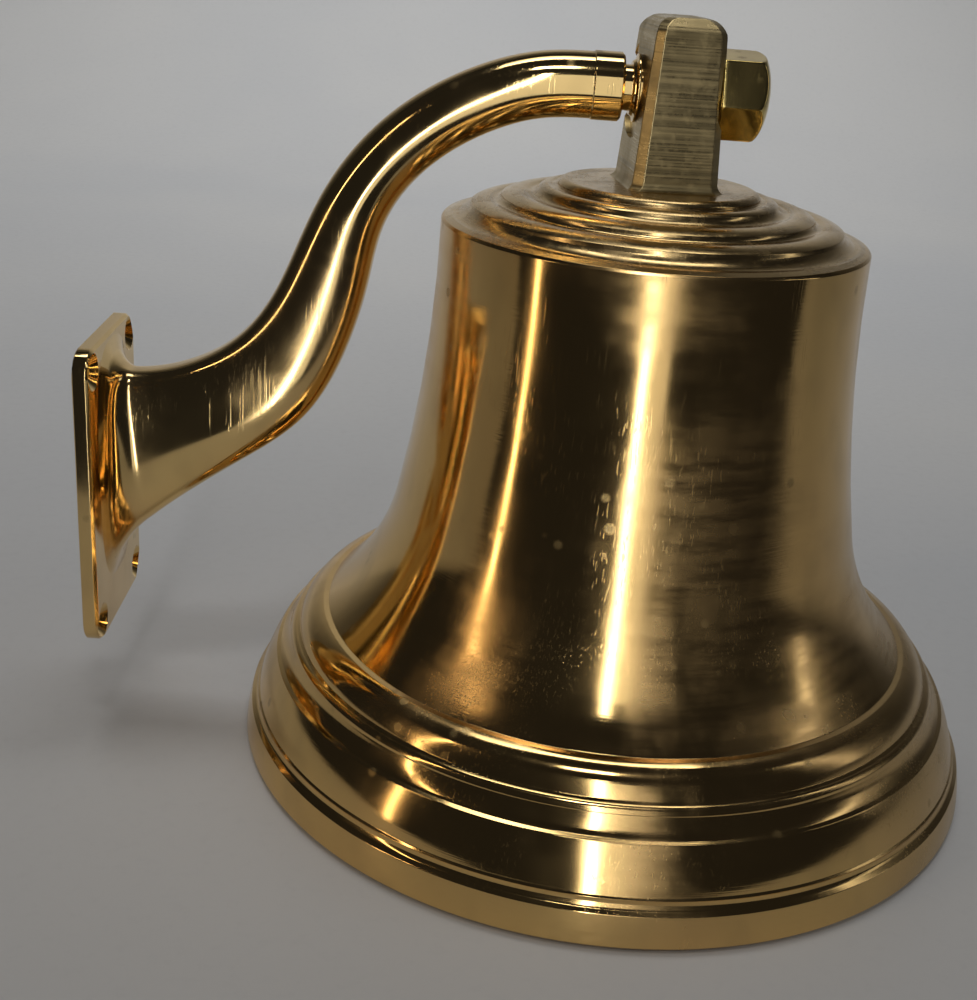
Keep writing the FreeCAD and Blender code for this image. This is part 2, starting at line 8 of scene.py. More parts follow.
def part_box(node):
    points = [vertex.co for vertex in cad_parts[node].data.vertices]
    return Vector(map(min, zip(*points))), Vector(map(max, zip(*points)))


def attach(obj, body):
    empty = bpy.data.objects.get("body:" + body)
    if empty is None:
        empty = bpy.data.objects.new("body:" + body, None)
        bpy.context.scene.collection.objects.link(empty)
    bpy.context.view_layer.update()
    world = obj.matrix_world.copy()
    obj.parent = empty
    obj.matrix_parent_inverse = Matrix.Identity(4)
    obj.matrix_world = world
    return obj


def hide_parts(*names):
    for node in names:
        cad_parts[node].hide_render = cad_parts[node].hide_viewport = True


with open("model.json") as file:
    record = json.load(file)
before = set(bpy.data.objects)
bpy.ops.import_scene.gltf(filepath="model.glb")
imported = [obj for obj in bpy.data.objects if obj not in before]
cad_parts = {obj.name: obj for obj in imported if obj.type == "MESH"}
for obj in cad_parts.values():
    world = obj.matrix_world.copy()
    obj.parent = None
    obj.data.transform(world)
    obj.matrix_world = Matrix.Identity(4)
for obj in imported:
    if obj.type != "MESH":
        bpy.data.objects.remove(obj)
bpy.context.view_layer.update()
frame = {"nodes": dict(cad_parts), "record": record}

MM = 0.001                          # sizes are in millimetres, from the floor on in metres

# ------------------------------------------------------------------ places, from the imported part
JOINTS = {joint["name"]: joint for joint in frame["record"]["behaviour"]["joints"]}
PIVOT = Vector(JOINTS["bell_swing"]["pos_m"]) / MM
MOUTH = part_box("bell")[0][2] / MM
ARM_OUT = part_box("wall_bracket")[1][0] / MM
COLLAR = [corner[0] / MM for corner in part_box("thrust_collar")]
NUT = [corner[0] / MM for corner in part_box("dome_nut")]
BELL_AXIS = Vector((PIVOT.x, 0.0, MOUTH))
STUD_AXIS = Vector((0.0, 0.0, PIVOT.z))


# ------------------------------------------------------------------ outlines
def arc_between(start, end, bulge, step=3.0):
    """Points after start, up to end, along the arc that rises by bulge on the left of the way."""
    if not bulge:
        return [end]
    chord = end - start
    half = chord.length / 2
    rise = abs(bulge)
    side = math.copysign(1.0, bulge)
    radius = (half * half + rise * rise) / (2 * rise)
    left = Vector((-chord.y, chord.x)).normalized() * side
    centre = (start + end) / 2 + left * (rise - radius)
    sweep = -side * 2 * math.atan2(half, radius - rise)
    steps = max(3, math.ceil(math.degrees(abs(sweep)) / step))
    arm = start - centre
    points = []
    for k in range(1, steps + 1):
        turn = Matrix.Rotation(sweep * k / steps, 2)
        points.append(centre + turn @ arm)
    return points


def soften(points, radius, closed=False, least=12.0, steps=3):
    """Rounds the corners of an outline a little and holds the flats beside them flat."""
    made = []
    count = len(points)
    for i, point in enumerate(points):
        if not closed and i in (0, count - 1):
            made.append(point)
            continue
        back = points[i - 1] - point
        ahead = points[(i + 1) % count] - point
        turn = math.pi - back.angle(ahead)
        if turn < math.radians(least):
            made.append(point)
            continue
        trim = min(radius * math.tan(turn / 2), 0.35 * back.length, 0.35 * ahead.length)
        hold = trim * 0.6
        start = point + back.normalized() * trim
        end = point + ahead.normalized() * trim
        made.append(start + back.normalized() * hold)
        for k in range(steps + 1):
            t = k / steps
            made.append(start * (1 - t) ** 2 + point * 2 * t * (1 - t) + end * t * t)
        made.append(end + ahead.normalized() * hold)
    return made


def outline(corners, radius=0.25, closed=False):
    """Outline through corners (across, along, bulge of the arc to the next), corners softened."""
    points = [Vector(corners[0][:2])]
    for i, corner in enumerate(corners):
        if i == len(corners) - 1 and not closed:
            break
        target = corners[(i + 1) % len(corners)]
        bulge = corner[2] if len(corner) > 2 else 0.0
        points += arc_between(Vector(corner[:2]), Vector(target[:2]), bulge)
    if closed:
        points.pop()
    return soften(points, radius, closed)


# ------------------------------------------------------------------ meshes
SHARP_ANGLE = math.radians(32)      # edges of a cut that are steeper than this stay sharp


def piece(name, bm, material, body, node=None, flats=True):
    """Turns a bmesh in millimetres into a piece of the object."""
    bmesh.ops.remove_doubles(bm, verts=bm.verts, dist=1e-5)
    bmesh.ops.recalc_face_normals(bm, faces=bm.faces)
    bmesh.ops.scale(bm, vec=(MM, MM, MM), verts=bm.verts)
    mesh = bpy.data.meshes.new(name)
    bm.to_mesh(mesh)
    bm.free()
    mesh.shade_smooth()
    obj = bpy.data.objects.new(name, mesh)
    bpy.context.scene.collection.objects.link(obj)
    mesh.materials.append(material)
    if flats:
        obj.modifiers.new("Normals", "WEIGHTED_NORMAL").keep_sharp = True
    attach(obj, body)
    if node:
        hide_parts(node)
    return obj


def skin(bm, rings, closed_rings=True):
    """Joins neighbouring rings of points, which hold equally many or a single pole, by faces."""
    made = [[bm.verts.new(point) for point in ring] for ring in rings]
    pairs = list(zip(made, made[1:]))
    if closed_rings:
        pairs.append((made[-1], made[0]))
    for low, high in pairs:
        count = max(len(low), len(high))
        if count == 1:
            continue
        for i in range(count):
            j = (i + 1) % count
            if len(low) == 1:
                bm.faces.new((low[0], high[j], high[i]))
            elif len(high) == 1:
                bm.faces.new((low[i], low[j], high[0]))
            else:
                bm.faces.new((low[i], low[j], high[j], high[i]))


def corner_list(bm):
    """The vertices of a bmesh in the order they were made."""
    bm.verts.ensure_lookup_table()
    return list(bm.verts)


def turned(points, origin, along="z", segments=96, closed=False):
    """Bmesh of an outline (radius, height) turned about an axis through origin."""
    bm = bmesh.new()
    rings = []
    for radius, height in points:
        ring = []
        for i in range(segments if radius > 1e-4 else 1):
            angle = 2 * math.pi * i / segments
            across = radius * math.cos(angle)
            deep = radius * math.sin(angle)
            spot = {"z": (across, deep, height), "x": (height, across, deep),
                    "y": (across, height, deep)}[along]
            ring.append(origin + Vector(spot))
        rings.append(ring)
    skin(bm, rings, closed_rings=closed)
    return bm


def rod(radius, start, end, origin, along, segments=64):
    """Bmesh of a plain cylinder, for cutting with."""
    outline_of_rod = [Vector((0, start)), Vector((radius, start)), Vector((radius, end)),
                      Vector((0, end))]
    return turned(outline_of_rod, origin, along, segments)


def carve(obj, cutters):
    """Cuts bmeshes in millimetres out of a piece."""
    helpers = []
    for number, bm in enumerate(cutters):
        bmesh.ops.recalc_face_normals(bm, faces=bm.faces)
        bmesh.ops.scale(bm, vec=(MM, MM, MM), verts=bm.verts)
        mesh = bpy.data.meshes.new("cutter")
        bm.to_mesh(mesh)
        bm.free()
        mesh.shade_smooth()
        helper = bpy.data.objects.new("cutter", mesh)
        bpy.context.scene.collection.objects.link(helper)
        helpers.append(helper)
        tool = obj.modifiers.new("Cut%d" % number, "BOOLEAN")
        tool.operation = "DIFFERENCE"
        tool.solver = "EXACT"
        tool.object = helper
        while obj.modifiers.find(tool.name) > number:
            obj.modifiers.move(obj.modifiers.find(tool.name), obj.modifiers.find(tool.name) - 1)
    normals = obj.modifiers.get("Normals")
    if normals:
        normals.show_viewport = False
    bpy.context.view_layer.update()
    shaped = obj.evaluated_get(bpy.context.evaluated_depsgraph_get())
    mesh = bpy.data.meshes.new_from_object(shaped)
    for number in range(len(helpers)):
        obj.modifiers.remove(obj.modifiers["Cut%d" % number])
    if normals:
        normals.show_viewport = True
    mesh.set_sharp_from_angle(angle=SHARP_ANGLE)
    obj.data = mesh
    for helper in helpers:
        bpy.data.objects.remove(helper)


# ------------------------------------------------------------------ materials
class Graph:
    """Short way to write a material's node graph."""

    def __init__(self, name):
        self.material = bpy.data.materials.new(name)
        self.material.use_nodes = True
        self.tree = self.material.node_tree
        self.shader = self.tree.nodes["Principled BSDF"]
        self.place = self.tree.nodes.new("ShaderNodeTexCoord").outputs["Object"]

    def link(self, value, socket):
        """Feeds a socket from another socket, or sets it to a constant."""
        if isinstance(value, bpy.types.NodeSocket):
            self.tree.links.new(value, socket)
        else:
            socket.default_value = value

    def spread(self, scale, turn=(0, 0, 0), centre=(0, 0, 0)):
        """Object coordinates about a centre, turned and scaled."""
        moved = self.tree.nodes.new("ShaderNodeMapping")
        moved.inputs["Location"].default_value = [-c for c in centre]
        self.link(self.place, moved.inputs["Vector"])
        node = self.tree.nodes.new("ShaderNodeMapping")
        node.inputs["Rotation"].default_value = [math.radians(a) for a in turn]
        node.inputs["Scale"].default_value = scale
        self.link(moved.outputs["Vector"], node.inputs["Vector"])
        return node.outputs["Vector"]

    def rounds(self, fine, around, centre):
        """Coordinates that change fast across turning lines and slowly along them."""
        moved = self.spread((1, 1, 1), centre=centre)
        split = self.tree.nodes.new("ShaderNodeSeparateXYZ")
        self.link(moved, split.inputs[0])
        across, deep, high = split.outputs
        radius = self.math("POWER", self.math("ADD", self.math("MULTIPLY", across, across),
                                              self.math("MULTIPLY", deep, deep)), 0.5)
        side = self.math("DIVIDE", across, self.math("ADD", radius, 1e-4))
        joined = self.tree.nodes.new("ShaderNodeCombineXYZ")
        self.link(self.math("MULTIPLY", radius, fine), joined.inputs[0])
        self.link(self.math("MULTIPLY", high, fine), joined.inputs[1])
        self.link(self.math("MULTIPLY", side, around), joined.inputs[2])
        return joined.outputs[0]

    def noise(self, vector, detail=3.0, rough=0.5, warp=0.0):
        node = self.tree.nodes.new("ShaderNodeTexNoise")
        node.inputs["Scale"].default_value = 1.0
        node.inputs["Detail"].default_value = detail
        node.inputs["Roughness"].default_value = rough
        node.inputs["Distortion"].default_value = warp
        self.link(vector, node.inputs["Vector"])
        return node.outputs["Fac"]

    def cells(self, vector):
        """Distance to the nearest of scattered points, for dots."""
        node = self.tree.nodes.new("ShaderNodeTexVoronoi")
        node.inputs["Scale"].default_value = 1.0
        self.link(vector, node.inputs["Vector"])
        return node.outputs["Distance"]

    def fit(self, value, low, high, to_low=0.0, to_high=1.0):
        """Value from low..high to to_low..to_high, held at the ends."""
        node = self.tree.nodes.new("ShaderNodeMapRange")
        node.interpolation_type = "SMOOTHSTEP"
        for socket, number in zip(("From Min", "From Max", "To Min", "To Max"),
                                  (low, high, to_low, to_high)):
            self.link(number, node.inputs[socket])
        self.link(value, node.inputs["Value"])
        return node.outputs["Result"]

    def math(self, operation, a, b):
        node = self.tree.nodes.new("ShaderNodeMath")
        node.operation = operation
        self.link(a, node.inputs[0])
        self.link(b, node.inputs[1])
        return node.outputs[0]

    def blend(self, factor, a, b):
        """Colour a where factor is 0 and b where it is 1."""
        node = self.tree.nodes.new("ShaderNodeMix")
        node.data_type = "RGBA"
        self.link(factor, node.inputs["Factor"])
        for socket, colour in ((6, a), (7, b)):
            self.link(colour if isinstance(colour, bpy.types.NodeSocket) else (*colour, 1.0),
                      node.inputs[socket])
        return node.outputs[2]

    def bump(self, height, strength, distance):
        node = self.tree.nodes.new("ShaderNodeBump")
        node.inputs["Strength"].default_value = strength
        node.inputs["Distance"].default_value = distance
        self.link(height, node.inputs["Height"])
        self.link(node.outputs["Normal"], self.shader.inputs["Normal"])

    def hairlines(self, turns, fine, long, rare):
        """Thin scratches in patches, running a different way for each turn."""
        total = None
        for number, turn in enumerate(turns):
            shift = (0.013 * number, 0.029 * number, 0.007 * number)
            lines = self.noise(self.spread((fine, fine, long), turn, shift), 1.0, 0.4, warp=0.3)
            patch = self.noise(self.spread((38, 38, 38), turn, shift), 2.0)
            marks = self.math("MULTIPLY", self.fit(lines, rare, rare + 0.05),
                              self.fit(patch, 0.55, 0.68))
            total = marks if total is None else self.math("MAXIMUM", total, marks)
        return total


def polished_brass(name, colour, dull, rough, haze, grain, grain_height, turned_about=None,
                   dust_and_shade_from=None):
    """Buffed brass: hazy patches, fine buffing lines, stray scratches and a few tarnish spots.

    rough and haze are the roughness of the clear and of the hazy areas. grain is how the buffing
    lines run: the scale of their noise along each axis, or (across, along) about a turning axis.
    The last argument is where, along X in metres, the side away from the wall starts to turn hazier
    with dust and to be painted darker, a painted shade.
    Noise scales are per metre: 100 is a pattern about 10 mm across.
    """
    g = Graph(name)
    centre = turned_about or (0, 0, 0)
    broad = g.noise(g.spread((22, 22, 12), centre=centre), 4.0, 0.55, warp=0.7)
    small = g.noise(g.spread((120, 120, 80), centre=centre), 1.0, 0.5)
    if turned_about:
        lines = g.noise(g.rounds(*grain, centre), 2.0, 0.6)
        wisps = g.noise(g.rounds(grain[0] * 0.10, grain[1] * 1.6, centre), 4.0, 0.65)
    else:
        lines = g.noise(g.spread(grain), 2.0, 0.6)
        wisps = g.noise(g.spread((48, 48, 48), (4, 3, 0)), 5.0, 0.65, warp=1.2)
    scratches = g.hairlines(((35, 20, 10), (-50, 15, 70), (80, -30, 25), (10, 62, -40)),
                            2300, 11, 0.635)
    waves = g.noise(g.spread((48, 48, 26), centre=centre), 1.0, 0.4)
    dots = g.cells(g.spread((150, 150, 150), (15, 40, 10), centre))
    spot_patch = g.noise(g.spread((26, 26, 26), centre=centre), 2.0)
    spots = g.math("MULTIPLY", g.fit(dots, 0.10, 0.22, 1.0, 0.0), g.fit(spot_patch, 0.54, 0.66))
    hazy = g.math("MULTIPLY", g.fit(broad, 0.42, 0.66), g.fit(wisps, 0.34, 0.62, 0.55, 1.0))
    # Painted shade: past a point along X, the side away from the wall is painted darker. The same
    # mask also adds dusty haze to the roughness.
    if dust_and_shade_from is not None:
        split = g.tree.nodes.new("ShaderNodeSeparateXYZ")
        g.link(g.place, split.inputs[0])
        dust = g.fit(split.outputs["X"], dust_and_shade_from, dust_and_shade_from + DUST_AND_SHADE_RUN)
        hazy = g.math("MAXIMUM", hazy, g.math("MULTIPLY", dust, 0.8))
    clear = g.fit(small, 0.3, 0.7, rough, rough * 1.4)
    base = g.math("ADD", clear, g.math("MULTIPLY", hazy, haze - rough))
    worn = g.math("ADD", base, g.math("MULTIPLY", scratches, 0.07))
    g.link(g.math("ADD", worn, g.math("MULTIPLY", spots, 0.16)), g.shader.inputs["Roughness"])
    warm = (colour[0] * 0.93, colour[1] * 0.90, colour[2] * 0.95)
    tint = g.blend(g.fit(broad, 0.35, 0.70), colour, warm)
    if dust_and_shade_from is not None:
        # Painted shade: the colour of the side away from the wall is blended toward the dull
        # colour.
        tint = g.blend(g.math("MULTIPLY", dust, 0.55), tint, dull)
    tint = g.blend(g.math("MULTIPLY", spots, 0.75), tint, dull)
    tint = g.blend(g.math("MULTIPLY", g.fit(small, 0.45, 0.75), 0.2), tint, dull)
    g.link(tint, g.shader.inputs["Base Color"])
    g.shader.inputs["Metallic"].default_value = 1.0
    if turned_about:
        g.shader.inputs["Anisotropic"].default_value = 0.6
        tangent = g.tree.nodes.new("ShaderNodeTangent")
        tangent.direction_type = "RADIAL"
        tangent.axis = "Z"
        g.link(tangent.outputs["Tangent"], g.shader.inputs["Tangent"])
    relief = g.math("MULTIPLY", g.math("MULTIPLY", lines, g.fit(wisps, 0.3, 0.7, 0.3, 1.0)),
                    grain_height)
    relief = g.math("ADD", relief, g.math("MULTIPLY", scratches, -0.16))
    relief = g.math("ADD", relief, g.math("MULTIPLY", small, 0.25))
    relief = g.math("ADD", relief, g.math("MULTIPLY", waves, 6.0))
    g.bump(relief, 0.35, 0.00006)
    return g.material


def brushed_brass(name, colour, dull, rough, grain, depth, turned_about=None):
    """Linished brass: close parallel lines with a few deeper ones, dusty and a little stained."""
    g = Graph(name)
    if turned_about:
        lines = g.noise(g.rounds(*grain, turned_about), 3.0, 0.7)
        deep = g.noise(g.rounds(grain[0] * 0.3, grain[1] * 2, turned_about), 2.0, 0.5)
    else:
        lines = g.noise(g.spread(grain), 3.0, 0.7)
        deep = g.noise(g.spread([s * 0.4 for s in grain], (2, 3, 0)), 2.0, 0.5)
    stain = g.noise(g.spread((60, 60, 50)), 5.0, 0.6, warp=0.8)
    dust = g.noise(g.spread((520, 520, 520)), 2.0, 0.6)
    scratches = g.hairlines(((60, 10, 30), (-40, 35, 15)), 2200, 40, 0.62)
    rougher = g.math("ADD", g.fit(lines, 0.25, 0.75, rough * 0.7, rough * 1.3),
                     g.fit(stain, 0.40, 0.70, 0.0, 0.12))
    g.link(g.math("ADD", rougher, g.fit(dust, 0.45, 0.75, 0.0, 0.08)),
           g.shader.inputs["Roughness"])
    tint = g.blend(g.fit(stain, 0.38, 0.72, 0.0, 0.7), colour, dull)
    tint = g.blend(g.fit(lines, 0.40, 0.70, 0.0, 0.25), tint, [c * 1.2 for c in colour])
    tint = g.blend(g.fit(deep, 0.55, 0.72, 0.0, 0.35), tint, [c * 0.55 for c in dull])
    g.link(tint, g.shader.inputs["Base Color"])
    g.shader.inputs["Metallic"].default_value = 1.0
    relief = g.math("SUBTRACT", lines, g.math("MULTIPLY", g.fit(deep, 0.52, 0.70), 0.9))
    g.bump(g.math("SUBTRACT", relief, g.math("MULTIPLY", scratches, 0.5)), 0.5, depth)
    return g.material


def cast_metal(name, colour, dull, rough, depth):
    """Sand-cast or plain turned surface that nobody has polished."""
    g = Graph(name)
    grit = g.noise(g.spread((900, 900, 900)), 3.0, 0.65)
    lumps = g.noise(g.spread((140, 140, 140)), 4.0, 0.6)
    stain = g.noise(g.spread((40, 40, 40)), 4.0, 0.6, warp=0.6)
    g.link(g.math("ADD", g.fit(grit, 0.3, 0.7, rough, rough + 0.15),
                  g.fit(stain, 0.4, 0.7, 0.0, 0.12)), g.shader.inputs["Roughness"])
    tint = g.blend(g.fit(stain, 0.35, 0.70), colour, dull)
    g.link(g.blend(g.fit(grit, 0.5, 0.8, 0.0, 0.5), tint, [c * 0.6 for c in dull]),
           g.shader.inputs["Base Color"])
    g.shader.inputs["Metallic"].default_value = 1.0
    g.bump(g.math("ADD", g.math("MULTIPLY", grit, 0.5), lumps), 0.6, depth)
    return g.material


GOLD_DULL = (0.42, 0.30, 0.13)

AXIS_M = tuple(BELL_AXIS * MM)
# Where the bell's side away from the wall starts to get dusty haze and painted shade.
DUST_AND_SHADE_FROM = 0.150                  # metres out from the wall, 25 mm past the bell's axis
DUST_AND_SHADE_RUN = 0.045                    # metres over which the dust and the painted shade thicken
bell_brass = polished_brass("bell_polish", (0.78, 0.52, 0.20), GOLD_DULL, 0.075, 0.26,
                            (2800, 1.6), 0.40, AXIS_M, dust_and_shade_from=DUST_AND_SHADE_FROM)
arm_brass = polished_brass("arm_polish", (0.83, 0.59, 0.25), GOLD_DULL, 0.065, 0.20,
                           (260, 1500, 260), 0.15)
nut_brass = polished_brass("nut_polish", (0.74, 0.56, 0.20), GOLD_DULL, 0.11, 0.28,
                           (900, 90, 90), 0.6)
lug_brass = brushed_brass("lug_linished", (0.53, 0.41, 0.20), (0.34, 0.27, 0.14), 0.30,
                          (14, 14, 2300), 0.00003)
crown_brass = brushed_brass("crown_turned", (0.66, 0.46, 0.20), (0.36, 0.26, 0.13), 0.17,
                            (1500, 2.0), 0.000012, AXIS_M)
rough_brass = cast_metal("inside_cast", (0.55, 0.42, 0.20), (0.30, 0.23, 0.12), 0.38, 0.0004)
clapper_brass = cast_metal("clapper_turned", (0.66, 0.50, 0.24), (0.38, 0.29, 0.15), 0.28, 0.0001)
steel = cast_metal("pin_steel", (0.60, 0.59, 0.56), (0.35, 0.33, 0.30), 0.28, 0.00005)

# ------------------------------------------------------------------ bell
MOUTH_R = 89.0
CROWN_R = 47.5
CROWN_Z = 126.3
PLINTH_R = 22.3
PLINTH_Z = 136.0
ROOF_Z = 121.5
WALL = 4.6
BELL_OUTSIDE = [
    (MOUTH_R - 1.0, 0.0),
    (MOUTH_R, 1.2, -0.15),
    (MOUTH_R - 1.2, 7.9),
    (MOUTH_R - 1.9, 8.5, 0.35),
    (MOUTH_R - 2.7, 10.6),
    (MOUTH_R - 3.1, 11.0, -0.35),
    (MOUTH_R - 7.1, 20.6),
    (MOUTH_R - 8.0, 21.0, 0.3),
    (MOUTH_R - 10.3, 24.4),
    (MOUTH_R - 10.5, 24.9, -0.35),
    (MOUTH_R - 11.9, 26.6),
    (MOUTH_R - 12.6, 27.0, -1.0),
    (MOUTH_R - 18.1, 32.6),
    (MOUTH_R - 19.4, 32.7, 2.45),
    (CROWN_R + 6.9, 60.0, 1.78),
    (CROWN_R, CROWN_Z - 0.6),
    (CROWN_R - 0.5, CROWN_Z),
    (CROWN_R - 2.2, CROWN_Z + 0.5, 0.5),
    (CROWN_R - 6.0, CROWN_Z + 2.3),
    (CROWN_R - 6.3, CROWN_Z + 3.1, -0.55),
    (CROWN_R - 11.5, CROWN_Z + 4.0, 0.45),
    (CROWN_R - 13.0, CROWN_Z + 5.2, -0.55),
    (CROWN_R - 18.3, CROWN_Z + 6.0, 0.7),
    (CROWN_R - 21.2, CROWN_Z + 7.4, -0.4),
    (PLINTH_R + 1.2, PLINTH_Z - 1.7),
    (PLINTH_R, PLINTH_Z - 1.6),
    (PLINTH_R, PLINTH_Z - 1.1, -0.2),
    (PLINTH_R - 1.5, PLINTH_Z),
    (0.0, PLINTH_Z),
]
BELL_INSIDE = [
    (0.0, ROOF_Z + 9.5),
    (4.0, ROOF_Z + 9.5),
    (4.0, ROOF_Z),
    (CROWN_R - WALL - 4.0, ROOF_Z, -1.6),
    (CROWN_R - WALL, ROOF_Z - 4.0, -1.6),
    (CROWN_R - WALL + 6.9, 60.0, -2.4),
    (MOUTH_R - 24.3, 33.0, -0.4),
    (MOUTH_R - 12.6, 18.0, -0.4),
    (MOUTH_R - 7.6, 4.0),
    (MOUTH_R - 7.0, 0.0),
    (MOUTH_R - 1.0, 0.0),
]
FINE = 240


def make_bell():
    """Turned casting: polished outside, cast inside, duller turned crown."""
    outside = outline(BELL_OUTSIDE, 0.28)
    inside = outline(BELL_INSIDE, 0.4)
    bm = turned(outside + inside[:-1], BELL_AXIS, "z", FINE, closed=True)
    obj = piece("bell_casting", bm, bell_brass, "bell_body", "bell")
    obj.data.materials.append(rough_brass)
    obj.data.materials.append(crown_brass)
    high_step = (MOUTH + CROWN_Z + 0.2) * MM
    for face in obj.data.polygons:
        across = Vector((face.center.x - BELL_AXIS.x * MM, face.center.y, 0.0))
        inward = face.normal.dot(across) < 0
        under_roof = face.normal.z < -0.7 and face.center.z > (MOUTH + 60) * MM
        if (inward and face.center.z < (MOUTH + CROWN_Z) * MM) or under_roof:
            face.material_index = 1
        elif face.center.z > high_step:
            face.material_index = 2
    return obj


LUG_BASE = (19.0, 22.0, 2.0)        # thickness, width, trimmed corner at the foot
LUG_TOP = (14.7, 20.0, 1.5)
LUG_FOOT_FLARE = 1.3
LUG_TURN = 6.0                      # degrees against the arm
LUG_SHIFT = 1.2                     # off the bell's axis, away from the wall
LUG_FOOT_Z = PLINTH_Z - 1.0
LUG_TOP_Z = 171.0
LUG_SHOULDER = 3.6
LUG_BROW = 2.6
STUD_Z = 155.8
LUG_BORE_R = 4.85
LUG_SEAT = 10.3
CUT_REACH = 30.0                    # cutters run this far past the lug's middle
SHOULDER_STEPS = 12


def make_lug():
    """Tapered block with trimmed corners, rounded over at the top, bored for the stud."""
    levels = [LUG_FOOT_Z + 0.4 * k for k in range(8)]
    levels += [LUG_FOOT_Z + 8.0, LUG_TOP_Z - LUG_SHOULDER - 1.0]
    turn = Matrix.Rotation(math.radians(LUG_TURN), 2)
    for k in range(SHOULDER_STEPS + 1):
        level_turn = math.radians(90 * k / SHOULDER_STEPS)
        levels.append(LUG_TOP_Z - LUG_SHOULDER * (1 - math.sin(level_turn)))
    rings = []
    for level in levels:
        t = (level - LUG_FOOT_Z) / (LUG_TOP_Z - LUG_FOOT_Z)
        thick, wide, trim = (a + (b - a) * t for a, b in zip(LUG_BASE, LUG_TOP))
        down = max(0.0, level - (LUG_TOP_Z - LUG_SHOULDER))
        round_in = LUG_SHOULDER - math.sqrt(max(0.0, LUG_SHOULDER ** 2 - down ** 2))
        brow_in = max(0.0, level - (LUG_TOP_Z - LUG_BROW))
        rise = min(1.0, max(0.0, level - PLINTH_Z) / 1.8)
        foot_out = LUG_FOOT_FLARE * (1 - math.sqrt(1 - (1 - rise) ** 2))
        half_x = thick / 2 - round_in + foot_out
        half_y = wide / 2 - brow_in + foot_out
        corners = []
        for sx, sy, trimmed in ((1, -1, "y"), (1, 1, "y"), (1, 1, "x"), (-1, 1, "x"),
                                (-1, 1, "y"), (-1, -1, "y"), (-1, -1, "x"), (1, -1, "x")):
            corners.append(Vector((sx * (half_x - (trim if trimmed == "x" else 0.0)),
                                   sy * (half_y - (trim if trimmed == "y" else 0.0)))))
        ring = [turn @ p for p in soften(corners, 0.35, closed=True)]
        rings.append([BELL_AXIS + Vector((p.x + LUG_SHIFT, p.y, level)) for p in ring])
    bm = bmesh.new()
    skin(bm, rings, closed_rings=False)
    verts = corner_list(bm)
    size = len(rings[0])
    bm.faces.new(verts[:size][::-1])
    bm.faces.new(verts[-size:])
    obj = piece("bell_lug", bm, lug_brass, "bell_body", None)
    middle = BELL_AXIS + Vector((LUG_SHIFT, 0.0, STUD_Z))
    face_out = (LUG_TOP[0] + (LUG_BASE[0] - LUG_TOP[0]) * (LUG_TOP_Z - STUD_Z)
                / (LUG_TOP_Z - LUG_FOOT_Z)) / 2
    carve(obj, [rod(LUG_BORE_R, -CUT_REACH, CUT_REACH, middle, "x"),
                rod(LUG_SEAT, face_out, CUT_REACH, middle, "x", 128),
                rod(LUG_SEAT, -CUT_REACH, -face_out, middle, "x", 128)])
    return obj


# ------------------------------------------------------------------ wall bracket
PLATE = (3.6, 42.0, 71.0)           # thick, wide, tall
PLATE_CORNER = 6.0
PLATE_BEVEL = 0.7
CORNER_STEPS = 12
SCREWS = (33.0, 61.0)
SCREW_R = 2.6
SINK_R = 4.2
FLARE = 7.0
BOSS_R = 7.2
BOSS_LONG = 7.0
ARM_POINTS = 144                    # round each section of the arm
# sections deeper than BOXY_FROM turn from ovals to rounded oblongs, fully so BOXY_RUN deeper
BOXY, BOXY_FROM, BOXY_RUN = 0.34, 14.0, 12.0
# along the arm's middle line: out from the wall, up, slope in degrees, depth, width
ARM = [
    (2.0, 4.0, 0.0, 46.0, 15.6),
    (13.0, 10.2, 9.0, 34.0, 14.8),
    (24.0, 16.2, 25.0, 27.2, 14.6),
    (40.0, 27.0, 43.0, 24.0, 14.6),
    (48.5, 40.0, 60.0, 20.6, 14.5),
    (53.6, 54.0, 67.0, 18.0, 14.3),
    (58.0, 67.0, 59.0, 15.4, 14.1),
    (67.5, 80.6, 42.0, 14.2, 14.0),
    (84.5, 92.2, 20.0, 13.95, 13.9),
    (98.0, 96.4, 6.0, 13.95, 13.9),
    (108.5, 97.0, 0.0, 13.95, 13.9),
]


def spline(stations, per_span):
    """Smooth run through the stations: a natural cubic spline in the distance between them."""
    count = len(stations)
    knots = [0.0]
    for a, b in zip(stations, stations[1:]):
        knots.append(knots[-1] + math.hypot(b[0] - a[0], b[1] - a[1]))
    fields = len(stations[0])
    bends = []
    for f in range(fields):
        values = [station[f] for station in stations]
        diagonal, right = [1.0] * count, [0.0] * count
        above = [0.0] * count
        for i in range(1, count - 1):
            before, after = knots[i] - knots[i - 1], knots[i + 1] - knots[i]
            slope_change = ((values[i + 1] - values[i]) / after
                            - (values[i] - values[i - 1]) / before)
            factor = before / diagonal[i - 1]
            diagonal[i] = 2 * (before + after) - factor * above[i - 1]
            above[i] = after
            right[i] = 6 * slope_change - factor * right[i - 1]
        bend = [0.0] * count
        for i in range(count - 2, 0, -1):
            bend[i] = (right[i] - above[i] * bend[i + 1]) / diagonal[i]
        bends.append(bend)
    made = []
    for i in range(count - 1):
        span = knots[i + 1] - knots[i]
        for k in range(per_span):
            t = k / per_span
            row = []
            for f in range(fields):
                a, b = stations[i][f], stations[i + 1][f]
                curve = ((1 - t) ** 3 - (1 - t)) * bends[f][i] + (t ** 3 - t) * bends[f][i + 1]
                row.append((1 - t) * a + t * b + curve * span * span / 6)
            made.append(row)
    made.append(list(stations[-1]))
    return made


